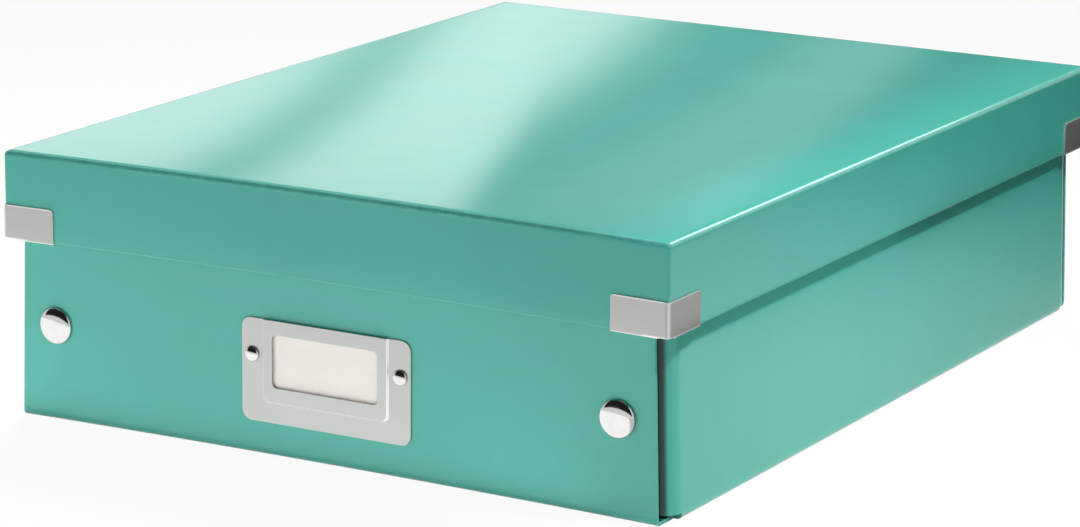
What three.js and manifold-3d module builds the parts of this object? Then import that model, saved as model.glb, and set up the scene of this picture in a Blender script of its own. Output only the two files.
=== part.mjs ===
// A flat storage box for papers: a folded board tray held together by press studs at its
// four corners, a label holder riveted to its front, and a lift-off board lid with a metal
// clip on each lower corner.
// Sizes are in millimetres. X runs across the front, Y to the back and Z up, the front faces
// -Y, and the origin is the middle of the footprint on the table.
import * as THREE from 'three';
import { mergeVertices } from 'three/addons/utils/BufferGeometryUtils.js';
import Module from 'manifold-3d';

const wasm = await Module();
wasm.setup();

// Overall size and the board that both halves are made of
const LID_WIDTH = 281;
const LID_DEPTH = 370;
const BOX_HEIGHT = 102.5;
const BOARD = 1.5;

// Lid: height of its skirts, inner radius of its folds, radius of its upright corners, and
// the gap over the tray's upper edges
const LID_SKIRT = 33.5;
const LID_FOLD_INNER_RADIUS = 0.6;
const LID_CORNER_RADIUS = 1.2;
const LID_SEAT_GAP = 0.3;

// Clearances between the lid's skirts and the tray's walls, at the skirts' lower edge
const SIDE_CLEARANCE = 2.1;
const END_CLEARANCE = 1.5;

// Tray: its side walls lean in towards the top, and end in tabs rolled round behind the
// front and rear panels
const WALL_LEAN = THREE.MathUtils.degToRad(1.75);
const TRAY_FOLD_INNER_RADIUS = 0.6;
const ROLLED_CORNER_RADIUS = 8;
const PANEL_INSET = 3.3;
const PANEL_CORNER_RADIUS = 4;
const TAB_LENGTH = 52;
const TAB_CORNER_RADIUS = 8;
const TAB_LIFT = 1;

// Press studs: their place on the panels, and the four pieces of each
const STUD_INSET = 15;
const STUD_HEIGHT = 37;
const STUD_POST_RADIUS = 1.8;
const STUD_FIT = 0.05;
const CAP_RADIUS = 7;
const CAP_RISE = 2.4;
const CAP_EDGE = 0.9;
const CAP_SHEET = 0.5;
const CAP_POST_ENTRY = 0.45;
const SOCKET_RADIUS = 5.2;
const SOCKET_THICKNESS = 2;
const SOCKET_LIP = 0.45;
const KNOB_RADIUS = 2.3;
const KNOB_NECK = 0.3;
const KNOB_ENTRY = 1.3;
const KNOB_PLAY = 0.15;
const KNOB_WALL = 0.45;
const KNOB_FLANGE_RADIUS = 5;
const KNOB_FLANGE = 0.6;
const STUD_REST = 0.3;
const EYELET_RADIUS = 5;
const EYELET_RISE = 0.8;
const EYELET_EDGE = 0.25;

// Label holder: a pressed sheet with a raised pocket, open at the top, and a window in it
const LABEL_WIDTH = 72;
const LABEL_HEIGHT = 38.8;
const LABEL_LIFT = 13.8;
const LABEL_SHEET = 0.5;
const LABEL_CORNER_RADIUS = 4;
const LABEL_FIT = 0.05;
const POCKET_WIDTH = 54;
const POCKET_FLOOR = 7.4;
const POCKET_RISE = 0.9;
const POCKET_DRAFT = 0.7;
const POCKET_CORNER_RADIUS = 3;
const WINDOW_WIDTH = 45;
const WINDOW_HEIGHT = 20;
const WINDOW_LIFT = 13.6;
const WINDOW_CORNER_RADIUS = 2;

// Label card in the pocket
const CARD_THICKNESS = 0.35;
const CARD_SIDE_PLAY = 0.5;
const CARD_SEAT = 0.3;
const CARD_TOP_DROP = 1.2;

// Rivets that hold the label holder
const RIVET_SPACING = 63.2;
const RIVET_LIFT = 25;
const RIVET_HEAD_RADIUS = 3;
const RIVET_HEAD_RISE = 1.6;
const RIVET_HEAD_EDGE = 0.3;
const RIVET_SHANK_RADIUS = 1.4;
const RIVET_TAIL_RADIUS = 2.6;
const RIVET_TAIL_RISE = 0.7;

// Corner clips: sheet folded over the lid's lower edge, with a short lip inside
const CLIP_SHEET = 0.5;
const CLIP_FIT = 0.05;
const CLIP_LEG = 22.5;
const CLIP_HEIGHT = 12.8;
const CLIP_LIP = 4;
const CLIP_CORNER_RADIUS = 2;

// How finely round forms are faceted
const FOLD_FACETS = 6;
const OUTLINE_FACETS = 3;
const HOLE_FACETS = 20;
const CAP_FACETS = 28;
const STUD_FACETS = 20;
const DOME_FACETS = 6;

// Numerical values: the distance within which corners are one, and a length past every face
const WELD_DISTANCE = 1e-4;
const BEYOND = 5;

// Places worked out from the sizes
const LID_HALF_WIDTH = LID_WIDTH / 2;
const LID_HALF_DEPTH = LID_DEPTH / 2;
const LID_UNDERSIDE = BOX_HEIGHT - BOARD;
const SKIRT_BOTTOM = BOX_HEIGHT - LID_SKIRT;
const TRAY_TOP = LID_UNDERSIDE - LID_SEAT_GAP;
const WALL_AT_SKIRT = LID_HALF_WIDTH - BOARD - SIDE_CLEARANCE;
const TRAY_HALF_WIDTH = WALL_AT_SKIRT + SKIRT_BOTTOM * Math.tan(WALL_LEAN);
const PANEL_FACE = LID_HALF_DEPTH - BOARD - END_CLEARANCE;
const PANEL_HALF_WIDTH = TRAY_HALF_WIDTH - PANEL_INSET;
const TRAY_FOLD_RADIUS = TRAY_FOLD_INNER_RADIUS + BOARD;
const TAB_GAP = STUD_FIT + SOCKET_THICKNESS + STUD_REST + KNOB_FLANGE + STUD_FIT;
const TAB_FACE = PANEL_FACE - BOARD - TAB_GAP;
const TAB_BOTTOM = BOARD + TAB_LIFT;
const ROLL_START = TAB_FACE - ROLLED_CORNER_RADIUS;
const TAB_ROOT = TRAY_HALF_WIDTH - ROLLED_CORNER_RADIUS;
const TAB_END = TRAY_HALF_WIDTH - TAB_LENGTH;
const STUD_X = (PANEL_HALF_WIDTH - STUD_INSET) * leanScale(STUD_HEIGHT);
const RIVET_HEIGHT = LABEL_LIFT + RIVET_LIFT;

const BOARD_FINISH = { color: 0x62b5a4, roughness: 0.32, metalness: 0 };
const PLATE_FINISH = { color: 0xc9cbc6, roughness: 0.35, metalness: 0.9 };
const CLIP_FINISH = { color: 0xb4b4ae, roughness: 0.38, metalness: 0.9 };
const CHROME_FINISH = { color: 0xe4e4e2, roughness: 0.08, metalness: 1 };
const CARD_FINISH = { color: 0xf6f3ec, roughness: 0.9, metalness: 0 };

const group = new THREE.Group();

function addPiece(name, geometry, finish, place = [0, 0, 0], turn = 0) {
  const mesh = new THREE.Mesh(geometry, new THREE.MeshStandardMaterial(finish));
  mesh.name = name;
  mesh.position.set(...place);
  mesh.rotation.z = turn;
  group.add(mesh);
}

// Share of a width that is left at a height, where the tray's side walls have leant in
function leanScale(height) {
  return 1 - (Math.tan(WALL_LEAN) * height) / TRAY_HALF_WIDTH;
}

// A geometry whose triangles share their corners, without the empty ones at a pole
function welded(geometry) {
  const bare = geometry.clone();
  bare.deleteAttribute('normal');
  bare.deleteAttribute('uv');
  const merged = mergeVertices(bare, WELD_DISTANCE);
  const corners = merged.index.array;
  const kept = [];
  for (let i = 0; i < corners.length; i += 3) {
    const [a, b, c] = [corners[i], corners[i + 1], corners[i + 2]];
    if (a !== b && b !== c && c !== a) kept.push(a, b, c);
  }
  merged.setIndex(kept);
  return merged;
}

function toSolid(geometry) {
  const closed = welded(geometry);
  return new wasm.Manifold(new wasm.Mesh({
    numProp: 3,
    vertProperties: new Float32Array(closed.attributes.position.array),
    triVerts: new Uint32Array(closed.index.array),
  }));
}

function toGeometry(solid) {
  const mesh = solid.getMesh();
  const geometry = new THREE.BufferGeometry();
  geometry.setAttribute('position', new THREE.BufferAttribute(mesh.vertProperties, 3));
  geometry.setIndex(new THREE.BufferAttribute(mesh.triVerts, 1));
  return geometry;
}

function extruded(outline, length, bevel = { bevelEnabled: false }) {
  return new THREE.ExtrudeGeometry(outline, { depth: length, curveSegments: OUTLINE_FACETS, ...bevel });
}

// An outline in X and Y, carried up from one height to another
function alongZ(outline, from, to) {
  return toSolid(extruded(outline, to - from).translate(0, 0, from));
}

// An outline in X and Z, carried along Y
function alongY(outline, from, to) {
  return toSolid(extruded(outline, to - from).rotateX(Math.PI / 2).translate(0, to, 0));
}

// An outline in Y and Z, carried along X
function alongX(outline, from, to) {
  const turn = new THREE.Matrix4().makeBasis(
    new THREE.Vector3(0, 1, 0),
    new THREE.Vector3(0, 0, 1),
    new THREE.Vector3(1, 0, 0),
  );
  return toSolid(extruded(outline, to - from).applyMatrix4(turn).translate(from, 0, 0));
}

// A rectangle with a radius for each corner, anticlockwise from the lower left one
function roundedRectangle(left, bottom, right, top, [lowLeft, lowRight, highRight, highLeft]) {
  const outline = new THREE.Shape();
  const quarter = Math.PI / 2;
  outline.moveTo(left + lowLeft, bottom);
  outline.lineTo(right - lowRight, bottom);
  if (lowRight > 0) outline.absarc(right - lowRight, bottom + lowRight, lowRight, -quarter, 0);
  outline.lineTo(right, top - highRight);
  if (highRight > 0) outline.absarc(right - highRight, top - highRight, highRight, 0, quarter);
  outline.lineTo(left + highLeft, top);
  if (highLeft > 0) outline.absarc(left + highLeft, top - highLeft, highLeft, quarter, 2 * quarter);
  outline.lineTo(left, bottom + lowLeft);
  if (lowLeft > 0) outline.absarc(left + lowLeft, bottom + lowLeft, lowLeft, 2 * quarter, 3 * quarter);
  return outline;
}

// The edge-on outline of a sheet that is folded to the left at each inner point. The points
// lie on its outer face, both faces of a fold are arcs about one centre, and where the fold
// is tighter than the sheet is thick the inner face meets in a corner.
function foldedSheet(points, thickness, radius) {
  const corners = points.map(([x, y]) => new THREE.Vector2(x, y));
  const heading = (i) => corners[i + 1].clone().sub(corners[i]).normalize();
  const leftOf = (way) => new THREE.Vector2(-way.y, way.x);
  const last = corners.length - 1;
  const outer = [corners[0]];
  const inner = [corners[0].clone().addScaledVector(leftOf(heading(0)), thickness)];
  for (let i = 1; i < last; i += 1) {
    const before = heading(i - 1);
    const turn = Math.acos(before.dot(heading(i)));
    const inside = (distance) => corners[i].clone()
      .addScaledVector(before, -distance * Math.tan(turn / 2))
      .addScaledVector(leftOf(before), distance);
    const centre = inside(radius);
    for (let k = 0; k <= FOLD_FACETS; k += 1) {
      const spoke = leftOf(before).negate().rotateAround(new THREE.Vector2(), (turn * k) / FOLD_FACETS);
      outer.push(centre.clone().addScaledVector(spoke, radius));
      if (radius > thickness) inner.push(centre.clone().addScaledVector(spoke, radius - thickness));
    }
    if (radius <= thickness) inner.push(inside(thickness));
  }
  outer.push(corners[last]);
  inner.push(corners[last].clone().addScaledVector(leftOf(heading(last - 1)), thickness));
  return new THREE.Shape([...outer, ...inner.reverse()]);
}

// A round hole through the front and rear of the tray, along Y
function crossHole(x, height, radius, from, to) {
  const cutter = new THREE.CylinderGeometry(radius, radius, to - from, HOLE_FACETS);
  return toSolid(cutter.translate(x, (from + to) / 2, height));
}

// The lean of the tray: every width shrinks in proportion to its height
function leanIn(geometry) {
  const places = geometry.attributes.position;
  for (let i = 0; i < places.count; i += 1) {
    places.setX(i, places.getX(i) * leanScale(places.getZ(i)));
  }
  return geometry;
}

// One side wall with the two tabs that it rolls into, seen from above
function rolledSide(side) {
  const root = TAB_ROOT - BOARD;
  const plan = foldedSheet([
    [root, -TAB_FACE],
    [TRAY_HALF_WIDTH, -TAB_FACE],
    [TRAY_HALF_WIDTH, TAB_FACE],
    [root, TAB_FACE],
  ], BOARD, ROLLED_CORNER_RADIUS);
  const wall = extruded(plan, TRAY_TOP - TAB_BOTTOM).translate(0, 0, TAB_BOTTOM);
  return toSolid(side > 0 ? wall : wall.rotateZ(Math.PI));
}

// The flat of one tab, with its free corners rounded
function tabPlate(side, end) {
  const radii = side > 0
    ? [TAB_CORNER_RADIUS, 0, 0, TAB_CORNER_RADIUS]
    : [0, TAB_CORNER_RADIUS, TAB_CORNER_RADIUS, 0];
  const left = side > 0 ? TAB_END : -TAB_ROOT;
  const right = side > 0 ? TAB_ROOT : -TAB_END;
  const outline = roundedRectangle(left, TAB_BOTTOM, right, TRAY_TOP, radii);
  const outerFace = end * TAB_FACE;
  const innerFace = end * (TAB_FACE - BOARD);
  return alongY(outline, Math.min(outerFace, innerFace), Math.max(outerFace, innerFace));
}

// A front or rear panel above its fold
function endPanel(end) {
  const outline = roundedRectangle(-PANEL_HALF_WIDTH, TRAY_FOLD_RADIUS, PANEL_HALF_WIDTH, TRAY_TOP, [
    0, 0, PANEL_CORNER_RADIUS, PANEL_CORNER_RADIUS,
  ]);
  const outerFace = end * PANEL_FACE;
  const innerFace = end * (PANEL_FACE - BOARD);
  return alongY(outline, Math.min(outerFace, innerFace), Math.max(outerFace, innerFace));
}

// Floor with a fold and an upright edge on two sides, as one outline across the box
function foldedFloor(halfWidth, top) {
  return foldedSheet([
    [-halfWidth, top],
    [-halfWidth, 0],
    [halfWidth, 0],
    [halfWidth, top],
  ], BOARD, TRAY_FOLD_RADIUS);
}

// Tray: one folded board, built upright, pierced, and then leant in
function trayGeometry() {
  const panelLip = TRAY_FOLD_RADIUS + BOARD;
  let tray = alongY(foldedFloor(TRAY_HALF_WIDTH, TRAY_TOP), -ROLL_START, ROLL_START)
    .add(alongX(foldedFloor(PANEL_FACE, panelLip), -PANEL_HALF_WIDTH, PANEL_HALF_WIDTH));
  for (const side of [-1, 1]) {
    tray = tray.add(rolledSide(side)).add(endPanel(side));
    for (const end of [-1, 1]) tray = tray.add(tabPlate(side, end));
  }
  const past = PANEL_FACE + BEYOND;
  const studHole = STUD_POST_RADIUS + STUD_FIT;
  for (const side of [-1, 1]) {
    const studPlace = (side * STUD_X) / leanScale(STUD_HEIGHT);
    tray = tray.subtract(crossHole(studPlace, STUD_HEIGHT, studHole, -past, past));
    const rivetPlace = (side * RIVET_SPACING) / 2 / leanScale(RIVET_HEIGHT);
    const rivetHole = RIVET_SHANK_RADIUS + LABEL_FIT;
    tray = tray.subtract(crossHole(rivetPlace, RIVET_HEIGHT, rivetHole, -past, -TAB_FACE));
  }
  return leanIn(toGeometry(tray));
}

// A block from the lid's lower edge up, with its upper edges and upright corners rounded
function lidBlock(halfWidth, halfDepth, bottom, top, foldRadius, cornerRadius) {
  const upper = [0, 0, foldRadius, foldRadius];
  const around = [cornerRadius, cornerRadius, cornerRadius, cornerRadius];
  const plan = alongZ(roundedRectangle(-halfWidth, -halfDepth, halfWidth, halfDepth, around), bottom, top);
  const front = alongY(roundedRectangle(-halfWidth, bottom, halfWidth, top, upper), -halfDepth, halfDepth);
  const flank = alongX(roundedRectangle(-halfDepth, bottom, halfDepth, top, upper), -halfWidth, halfWidth);
  return plan.intersect(front).intersect(flank);
}

// Lid: top and skirts of one board, closed round its upright corners
function lidGeometry() {
  const foldRadius = LID_FOLD_INNER_RADIUS + BOARD;
  const outside = lidBlock(
    LID_HALF_WIDTH, LID_HALF_DEPTH, SKIRT_BOTTOM, BOX_HEIGHT, foldRadius, LID_CORNER_RADIUS,
  );
  const inside = lidBlock(
    LID_HALF_WIDTH - BOARD, LID_HALF_DEPTH - BOARD, SKIRT_BOTTOM - BEYOND, LID_UNDERSIDE,
    LID_FOLD_INNER_RADIUS, 0,
  );
  return toGeometry(outside.subtract(inside));
}

// Corner clip, with the lid's upright corner at its origin and its legs along -X and +Y: an
// outer angle, a fold under the board's edge and a short lip up the inside
function clipGeometry() {
  const faceOut = CLIP_FIT + CLIP_SHEET;
  const lipFace = BOARD + CLIP_FIT;
  const bendRadius = LID_CORNER_RADIUS + faceOut;
  const angle = (outward) => [
    [-CLIP_LEG, -outward],
    [outward, -outward],
    [outward, CLIP_LEG],
  ];
  const acrossEdge = faceOut + lipFace + CLIP_SHEET;
  const plate = alongZ(foldedSheet(angle(faceOut), CLIP_SHEET, bendRadius), -faceOut, CLIP_HEIGHT);
  const underFold = alongZ(foldedSheet(angle(faceOut), acrossEdge, bendRadius), -faceOut, -CLIP_FIT);
  const lip = alongZ(foldedSheet(angle(-lipFace), CLIP_SHEET, CLIP_SHEET), -faceOut, CLIP_LIP);
  const reach = acrossEdge + BEYOND;
  const frontTrim = roundedRectangle(-CLIP_LEG, -reach, reach, CLIP_HEIGHT, [0, 0, 0, CLIP_CORNER_RADIUS]);
  const flankTrim = roundedRectangle(-reach, -reach, CLIP_LEG, CLIP_HEIGHT, [0, 0, CLIP_CORNER_RADIUS, 0]);
  const span = CLIP_LEG + reach;
  return toGeometry(plate.add(underFold).add(lip)
    .intersect(alongY(frontTrim, -span, span))
    .intersect(alongX(flankTrim, -span, span)));
}

// The pressing of the label holder's pocket: a block with drafted sides that runs out past
// the sheet's upper edge, from behind the panel's face to its own front face
function pocketBlock(inset, front) {
  const halfWidth = POCKET_WIDTH / 2 - inset;
  const radius = POCKET_CORNER_RADIUS - inset;
  const outline = roundedRectangle(-halfWidth, POCKET_FLOOR + inset, halfWidth, LABEL_HEIGHT + BEYOND, [
    radius, radius, 0, 0,
  ]);
  const bevel = {
    bevelEnabled: true,
    bevelThickness: POCKET_RISE,
    bevelSize: POCKET_DRAFT,
    bevelOffset: -POCKET_DRAFT,
    bevelSegments: 2,
  };
  const behind = BEYOND;
  const straight = behind + front - 2 * POCKET_RISE;
  const block = extruded(outline, straight, bevel).translate(0, 0, POCKET_RISE - behind);
  return toSolid(block.rotateX(Math.PI / 2));
}

// Label holder, with the middle of its lower edge on the panel's face at the origin
function labelHolderGeometry() {
  const halfWidth = LABEL_WIDTH / 2;
  const front = LABEL_FIT + LABEL_SHEET + POCKET_RISE;
  const around = Array(4).fill(LABEL_CORNER_RADIUS);
  const sheetOutline = roundedRectangle(-halfWidth, 0, halfWidth, LABEL_HEIGHT, around);
  const windowOutline = roundedRectangle(
    -WINDOW_WIDTH / 2, WINDOW_LIFT, WINDOW_WIDTH / 2, WINDOW_LIFT + WINDOW_HEIGHT,
    Array(4).fill(WINDOW_CORNER_RADIUS),
  );
  const sheet = alongY(sheetOutline, -LABEL_FIT - LABEL_SHEET, -LABEL_FIT);
  const raised = pocketBlock(0, front).intersect(alongY(sheetOutline, -front, -LABEL_FIT));
  let holder = sheet.add(raised)
    .subtract(pocketBlock(LABEL_SHEET, front - LABEL_SHEET))
    .subtract(alongY(windowOutline, -front - BEYOND, BEYOND));
  for (const side of [-1, 1]) {
    const hole = RIVET_SHANK_RADIUS + LABEL_FIT;
    const place = (side * RIVET_SPACING) / 2;
    holder = holder.subtract(crossHole(place, RIVET_LIFT, hole, -front, BEYOND));
  }
  return toGeometry(holder);
}

// Label card, standing on the pocket's floor against the panel
function labelCardGeometry() {
  const halfWidth = POCKET_WIDTH / 2 - LABEL_SHEET - POCKET_DRAFT - CARD_SIDE_PLAY;
  const bottom = POCKET_FLOOR + LABEL_SHEET + POCKET_DRAFT + CARD_SEAT;
  const outline = roundedRectangle(-halfWidth, bottom, halfWidth, LABEL_HEIGHT - CARD_TOP_DROP, [0, 0, 0, 0]);
  return toGeometry(alongY(outline, -LABEL_FIT - CARD_THICKNESS, -LABEL_FIT));
}

// Points of a shallow dome, from its edge in to the axis: an arc of one circle
function domePoints(radius, edge, rise) {
  const height = rise - edge;
  const sphere = (radius * radius + height * height) / (2 * height);
  const spread = Math.asin(radius / sphere);
  const points = [];
  for (let k = 0; k <= DOME_FACETS; k += 1) {
    const angle = spread * (1 - k / DOME_FACETS);
    points.push([sphere * Math.sin(angle), rise - sphere * (1 - Math.cos(angle))]);
  }
  return points;
}

function turned(profile, facets) {
  return welded(new THREE.LatheGeometry(profile.map(([r, y]) => new THREE.Vector2(r, y)), facets));
}

// The pieces of a press stud are turned about Y, which points out of the box, and their
// origin is the panel's outer face. The cap is a hollow dome with a post through the panel.
function capGeometry() {
  const postEnd = -BOARD - CAP_POST_ENTRY;
  const ceiling = CAP_RISE - CAP_SHEET;
  const innerEdge = CAP_RADIUS - CAP_SHEET;
  return turned([
    [0, postEnd],
    [STUD_POST_RADIUS, postEnd],
    [STUD_POST_RADIUS, ceiling],
    [innerEdge - CAP_EDGE, CAP_EDGE],
    [innerEdge, STUD_FIT],
    [CAP_RADIUS - CAP_SHEET / 2, STUD_FIT],
    [CAP_RADIUS, STUD_FIT + CAP_SHEET / 2],
    ...domePoints(CAP_RADIUS, CAP_EDGE, CAP_RISE),
  ], CAP_FACETS);
}

// Socket: a ring on the panel's inner face, open to the knob
function socketGeometry() {
  const top = -BOARD - STUD_FIT;
  const bottom = top - SOCKET_THICKNESS;
  const postHole = STUD_POST_RADIUS + STUD_FIT;
  const knobHole = KNOB_RADIUS + KNOB_PLAY;
  const step = -BOARD - CAP_POST_ENTRY - STUD_FIT;
  const profile = [
    [knobHole, bottom],
    [SOCKET_RADIUS - SOCKET_LIP, bottom],
    [SOCKET_RADIUS, bottom + SOCKET_LIP],
    [SOCKET_RADIUS, top - SOCKET_LIP],
    [SOCKET_RADIUS - SOCKET_LIP, top],
    [postHole, top],
    [postHole, step],
    [knobHole, step],
  ];
  return turned([...profile, profile[0]], STUD_FACETS);
}

// Knob: a flange on the tab's outer face with a necked ball that clicks into the socket
function knobGeometry() {
  const base = -BOARD - TAB_GAP + STUD_FIT;
  const flangeTop = base + KNOB_FLANGE;
  const knobTop = -BOARD - STUD_FIT - SOCKET_THICKNESS + KNOB_ENTRY;
  const boreTop = knobTop - KNOB_WALL;
  const postHole = STUD_POST_RADIUS + STUD_FIT;
  const middle = (flangeTop + knobTop) / 2;
  return turned([
    [0, boreTop],
    [postHole, boreTop],
    [postHole, base],
    [KNOB_FLANGE_RADIUS, base],
    [KNOB_FLANGE_RADIUS, flangeTop],
    [KNOB_RADIUS - KNOB_NECK + STUD_FIT, flangeTop],
    [KNOB_RADIUS, middle],
    [KNOB_RADIUS - KNOB_NECK, knobTop],
    [0, knobTop],
  ], STUD_FACETS);
}

// Eyelet: a low dome on the tab's inner face with a post through the tab into the knob
function eyeletGeometry() {
  const knobTop = -BOARD - STUD_FIT - SOCKET_THICKNESS + KNOB_ENTRY;
  const postEnd = knobTop - KNOB_WALL - STUD_FIT;
  const face = -BOARD - TAB_GAP - BOARD - STUD_FIT;
  const dome = domePoints(EYELET_RADIUS, EYELET_EDGE, EYELET_RISE);
  const underside = dome.reverse().map(([r, rise]) => [r, face - rise]);
  return turned([
    ...underside,
    [EYELET_RADIUS, face],
    [STUD_POST_RADIUS, face],
    [STUD_POST_RADIUS, postEnd],
    [0, postEnd],
  ], STUD_FACETS);
}

// Rivet, turned about Y like the studs: a domed head on the label holder, a shank through
// the panel and a flattened tail inside
function rivetGeometry() {
  const seat = LABEL_FIT + LABEL_SHEET + LABEL_FIT;
  const tail = -BOARD - LABEL_FIT;
  const dome = domePoints(RIVET_HEAD_RADIUS, RIVET_HEAD_EDGE, RIVET_HEAD_RISE);
  return turned([
    [0, tail - RIVET_TAIL_RISE],
    [RIVET_TAIL_RADIUS, tail - RIVET_TAIL_RISE],
    [RIVET_TAIL_RADIUS, tail],
    [RIVET_SHANK_RADIUS, tail],
    [RIVET_SHANK_RADIUS, seat],
    [RIVET_HEAD_RADIUS, seat],
    ...dome.map(([r, rise]) => [r, seat + rise]),
  ], STUD_FACETS);
}

addPiece('tray', trayGeometry(), BOARD_FINISH);
addPiece('lid', lidGeometry(), BOARD_FINISH);

// The four corners: each has a press stud in the tray and a clip on the lid. A clip's legs
// are alike, so a quarter turn takes it from one corner to the next.
const QUARTER_TURN = Math.PI / 2;
const CORNERS = [
  { name: 'front_right', side: 1, end: -1, clipTurn: 0 },
  { name: 'rear_right', side: 1, end: 1, clipTurn: QUARTER_TURN },
  { name: 'rear_left', side: -1, end: 1, clipTurn: 2 * QUARTER_TURN },
  { name: 'front_left', side: -1, end: -1, clipTurn: 3 * QUARTER_TURN },
];
const STUD_PIECES = [
  { name: 'stud_cap', geometry: capGeometry() },
  { name: 'stud_socket', geometry: socketGeometry() },
  { name: 'stud_knob', geometry: knobGeometry() },
  { name: 'stud_eyelet', geometry: eyeletGeometry() },
];
for (const corner of CORNERS) {
  const clipPlace = [corner.side * LID_HALF_WIDTH, corner.end * LID_HALF_DEPTH, SKIRT_BOTTOM];
  addPiece(`corner_clip_${corner.name}`, clipGeometry(), CLIP_FINISH, clipPlace, corner.clipTurn);
  const studPlace = [corner.side * STUD_X, corner.end * PANEL_FACE, STUD_HEIGHT];
  const studTurn = corner.end > 0 ? 0 : Math.PI;
  for (const piece of STUD_PIECES) {
    addPiece(`${piece.name}_${corner.name}`, piece.geometry, CHROME_FINISH, studPlace, studTurn);
  }
}

addPiece('label_holder', labelHolderGeometry(), PLATE_FINISH, [0, -PANEL_FACE, LABEL_LIFT]);
addPiece('label_card', labelCardGeometry(), CARD_FINISH, [0, -PANEL_FACE, LABEL_LIFT]);
for (const [name, side] of [['left', -1], ['right', 1]]) {
  const place = [(side * RIVET_SPACING) / 2, -PANEL_FACE, RIVET_HEIGHT];
  addPiece(`label_rivet_${name}`, rivetGeometry(), CHROME_FINISH, place, Math.PI);
}

export default group;
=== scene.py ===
import math

import bmesh
import bpy
import numpy as np
from bpy.props import FloatProperty, FloatVectorProperty, PointerProperty
from mathutils import Matrix, Vector


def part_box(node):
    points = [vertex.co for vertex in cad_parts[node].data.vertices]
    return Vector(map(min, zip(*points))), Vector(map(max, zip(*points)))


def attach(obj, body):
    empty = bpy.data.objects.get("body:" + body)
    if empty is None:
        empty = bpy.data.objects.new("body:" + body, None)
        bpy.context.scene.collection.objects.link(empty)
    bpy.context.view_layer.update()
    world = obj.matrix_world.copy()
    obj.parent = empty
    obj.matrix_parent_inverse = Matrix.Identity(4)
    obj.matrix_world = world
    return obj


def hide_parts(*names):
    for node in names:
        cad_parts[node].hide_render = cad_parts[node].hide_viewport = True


bl_info = {
    "name": "Storage Box",
    "version": (1, 0, 0),
    "blender": (4, 5, 0),
    "location": "3D View > Sidebar > Storage Box",
    "description": "Board box with a lift-off lid, corner clips, press studs and a label holder",
    "category": "Add Mesh",
}

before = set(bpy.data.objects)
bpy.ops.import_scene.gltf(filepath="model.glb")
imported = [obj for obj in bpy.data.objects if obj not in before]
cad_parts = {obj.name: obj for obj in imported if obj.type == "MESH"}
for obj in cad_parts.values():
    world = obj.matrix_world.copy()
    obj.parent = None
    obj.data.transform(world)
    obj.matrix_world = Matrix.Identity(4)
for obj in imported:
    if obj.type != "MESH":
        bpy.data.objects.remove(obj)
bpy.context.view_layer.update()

CORNERS = ("front_right", "rear_right", "rear_left", "front_left")

LID_LOW, LID_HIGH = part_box("lid")
TRAY_LOW, TRAY_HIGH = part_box("tray")
HOLDER_LOW, HOLDER_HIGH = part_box("label_holder")

# Board and its folds, in metres
BOARD = 0.0015
LID_FOLD_RADIUS = 0.0021
LID_INNER_FOLD_RADIUS = 0.0006
LID_CORNER_RADIUS = 0.0012
LID_INNER_CORNER_RADIUS = 0.0003
TRAY_HALF_WIDTH = 0.139008
WALL_LEAN = math.radians(1.75)
TRAY_FOLD_RADIUS = 0.0021
ROLLED_CORNER_RADIUS = 0.008
PANEL_INSET = 0.0033
PANEL_CORNER_RADIUS = 0.004
TAB_LENGTH = 0.052
TAB_CORNER_RADIUS = 0.008
TAB_BOTTOM = 0.0025
TAB_FACE = 0.1775

# Corner clips
CLIP_SHEET = 0.0005
CLIP_FIT = 0.00005
CLIP_LEG = 0.0225
CLIP_HEIGHT = 0.0128
CLIP_LIP = 0.004
CLIP_CORNER_RADIUS = 0.0013
CLIP_NOTCH = 0.004

# Label holder, with heights counted from its lower edge
HOLDER_SHEET = 0.0005
HOLDER_CORNER_RADIUS = 0.004
POCKET_HALF_WIDTH = 0.027
POCKET_FLOOR = 0.0074
POCKET_DRAFT = 0.0008
POCKET_CORNER_RADIUS = 0.003
WINDOW_HALF_WIDTH = 0.0225
WINDOW_BOTTOM = 0.0136
WINDOW_TOP = 0.0336
WINDOW_CORNER_RADIUS = 0.002

# Where the label holder's grid turns finer and coarser, across and upwards
SIDE_STOPS = (0.0262, 0.0272)
LOWER_STOPS = (0.0072, 0.0084, 0.0106)

# Studs and rivets
CAP_RISE = 0.0024
CAP_RIM = 0.0009
CAP_CORNER = 0.0005
RIVET_RISE = 0.0016
RIVET_RIM = 0.0003
RIVET_TAIL_RADIUS = 0.0026
RIVET_TAIL_RISE = 0.0007
RIVET_TAIL_RIM = 0.0002
EYELET_RISE = 0.0008
EYELET_RIM = 0.00025
EYELET_DIMPLE = 0.0006
EYELET_DIMPLE_RADIUS = 0.0022
SMALL_CORNER = 0.0002

# Camera: place, and its right, up and backward directions
CAMERA_PLACE = (0.7657, -1.3736, 0.4273)
CAMERA_AXES = (
    (0.86814, 0.49623, 0.00914),
    (-0.12691, 0.20414, 0.97068),
    (0.47982, -0.84385, 0.2402),
)
CAMERA_LENS = 135.73
CAMERA_SENSOR = 36
CAMERA_CLIP = (0.05, 60)

# Lamps: name, place, target, size in metres, spread in degrees and the setting of its power
LAMPS = (
    ("side_lamp", (0.52, -0.12, 0.86), (0.14, -0.06, 0.05), (0.04, 0.04), 90, "key_power"),
    ("rear_lamp", (-0.45, 0.75, 1.25), (0.08, -0.15, 0.1), (0.5, 0.5), 70, "top_power"),
    ("front_lamp", (-0.95, -1.35, 0.4), (-0.05, -0.18, 0.03), (0.8, 0.8), 180, "fill_power"),
    ("low_lamp", (-0.17, -0.237, 0.0006), (-0.17, -0.237, 1), (0.56, 0.10), 180, "low_power"),
)

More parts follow.
